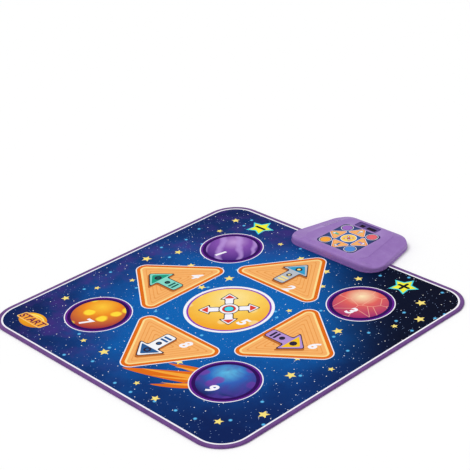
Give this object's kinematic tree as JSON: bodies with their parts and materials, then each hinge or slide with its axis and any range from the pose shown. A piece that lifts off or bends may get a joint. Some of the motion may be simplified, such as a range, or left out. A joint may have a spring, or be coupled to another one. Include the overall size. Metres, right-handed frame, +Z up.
{
  "type": "electronic dance mat",
  "caption": "Square folding floor mat with sprung touch pads and a low battery powered console with a light panel and score display on its rear edge.",
  "frame": {"origin": "middle of the square mat, on its underside", "axes": "+Z up from the floor, +Y towards the rear edge that carries the console, +X to the right of someone facing the console"},
  "size_m": [0.9, 1.029, 0.03],
  "materials": {
    "printed_sheet": "printed coated polyester, satin",
    "binding_tape": "woven tape, matt",
    "foam": "open foam, matt",
    "contact_film": "printed polyester film",
    "backing": "dotted non-slip cloth, matt",
    "pad_print": "printed coated polyester, satin, coloured pads",
    "lilac_plastic": "moulded ABS, fine texture",
    "purple_plastic": "moulded ABS, fine texture",
    "light_panel": "printed translucent film, glossy",
    "white_plastic": "moulded ABS, satin",
    "dark_lens": "smoked acrylic, polished",
    "circuit_board": "solder mask, satin",
    "lamp": "clear epoxy over phosphor",
    "black_plastic": "moulded plastic, satin",
    "steel": "zinc plated",
    "cell_jacket": "printed shrink sleeve, glossy",
    "foot_rubber": "moulded rubber, matt"
  },
  "bodies": {
    "mat": {"backing_sheet": "backing", "contact_film": "contact_film", "foam_spacer": "foam", "top_sheet": "printed_sheet", "edge_binding": "binding_tape", "mat_tail": "contact_film", "clamp_strip": "black_plastic", "top_cover": "lilac_plastic", "base_shell": "purple_plastic", "case_screw_1": "steel", "case_screw_2": "steel", "case_screw_3": "steel", "case_screw_4": "steel", "battery_cell_1": "cell_jacket", "battery_cell_2": "cell_jacket", "battery_cell_3": "cell_jacket", "contact_terminal_left": "steel", "contact_bridge_left": "steel", "contact_bridge_right": "steel", "contact_terminal_right": "steel", "foot_left": "foot_rubber", "foot_right": "foot_rubber", "light_panel": "light_panel", "light_grid": "white_plastic", "light_board": "circuit_board", "light_1": "lamp", "light_2": "lamp", "light_3": "lamp", "light_4": "lamp", "light_5": "lamp", "light_6": "lamp", "light_7": "lamp", "light_8": "lamp", "light_9": "lamp", "display_lens": "dark_lens", "display_one_digit": "black_plastic", "display_two_digit": "black_plastic", "main_board": "circuit_board", "speaker": "black_plastic", "power_switch": "black_plastic"},
    "flap": {"backing_sheet_flap": "backing", "contact_film_flap": "contact_film", "foam_spacer_flap": "foam", "top_sheet_flap": "printed_sheet", "edge_binding_flap": "binding_tape"},
    "touch_1": {"pad_1": "pad_print"},
    "touch_2": {"pad_2": "pad_print"},
    "touch_3": {"pad_3": "pad_print"},
    "touch_4": {"pad_4": "pad_print"},
    "touch_5": {"pad_5": "pad_print"},
    "touch_6": {"pad_6": "pad_print"},
    "touch_7": {"pad_7": "pad_print"},
    "touch_8": {"pad_8": "pad_print"},
    "touch_9": {"pad_9": "pad_print"},
    "touch_start": {"pad_start": "pad_print"},
    "touch_plus": {"pad_plus": "pad_print"},
    "touch_minus": {"pad_minus": "pad_print"},
    "door": {"battery_door": "purple_plastic", "door_screw": "steel"},
    "switch": {"switch_knob": "black_plastic"}
  },
  "joints": [
    {"name": "fold", "type": "hinge", "parent": "mat", "child": "flap", "pos_m": [0, -0.144, 0.0056], "axis": [-1, 0, 0], "range_deg": [0, 178]},
    {"name": "press_1", "type": "slide", "parent": "mat", "child": "touch_1", "axis": [0, 0, -1], "range_m": [0, 0.0015], "stiffness_N_per_m": 3000, "springref_m": -0.001},
    {"name": "press_2", "type": "slide", "parent": "mat", "child": "touch_2", "axis": [0, 0, -1], "range_m": [0, 0.0015], "stiffness_N_per_m": 3000, "springref_m": -0.001},
    {"name": "press_3", "type": "slide", "parent": "mat", "child": "touch_3", "axis": [0, 0, -1], "range_m": [0, 0.0015], "stiffness_N_per_m": 3000, "springref_m": -0.001},
    {"name": "press_4", "type": "slide", "parent": "mat", "child": "touch_4", "axis": [0, 0, -1], "range_m": [0, 0.0015], "stiffness_N_per_m": 3000, "springref_m": -0.001},
    {"name": "press_5", "type": "slide", "parent": "mat", "child": "touch_5", "axis": [0, 0, -1], "range_m": [0, 0.0015], "stiffness_N_per_m": 3000, "springref_m": -0.001},
    {"name": "press_6", "type": "slide", "parent": "mat", "child": "touch_6", "axis": [0, 0, -1], "range_m": [0, 0.0015], "stiffness_N_per_m": 3000, "springref_m": -0.001},
    {"name": "press_7", "type": "slide", "parent": "flap", "child": "touch_7", "axis": [0, 0, -1], "range_m": [0, 0.0015], "stiffness_N_per_m": 3000, "springref_m": -0.001},
    {"name": "press_8", "type": "slide", "parent": "flap", "child": "touch_8", "axis": [0, 0, -1], "range_m": [0, 0.0015], "stiffness_N_per_m": 3000, "springref_m": -0.001},
    {"name": "press_9", "type": "slide", "parent": "flap", "child": "touch_9", "axis": [0, 0, -1], "range_m": [0, 0.0015], "stiffness_N_per_m": 3000, "springref_m": -0.001},
    {"name": "press_start", "type": "slide", "parent": "flap", "child": "touch_start", "axis": [0, 0, -1], "range_m": [0, 0.0015], "stiffness_N_per_m": 1000, "springref_m": -0.001},
    {"name": "press_plus", "type": "slide", "parent": "mat", "child": "touch_plus", "axis": [0, 0, -1], "range_m": [0, 0.0015], "stiffness_N_per_m": 1000, "springref_m": -0.001},
    {"name": "press_minus", "type": "slide", "parent": "mat", "child": "touch_minus", "axis": [0, 0, -1], "range_m": [0, 0.0015], "stiffness_N_per_m": 1000, "springref_m": -0.001},
    {"name": "door_slide", "type": "slide", "parent": "mat", "child": "door", "axis": [0, 0, -1], "range_m": [0, 0.02]},
    {"name": "switch_slide", "type": "slide", "parent": "mat", "child": "switch", "axis": [1, 0, 0], "range_m": [0, 0.004]}
  ]
}
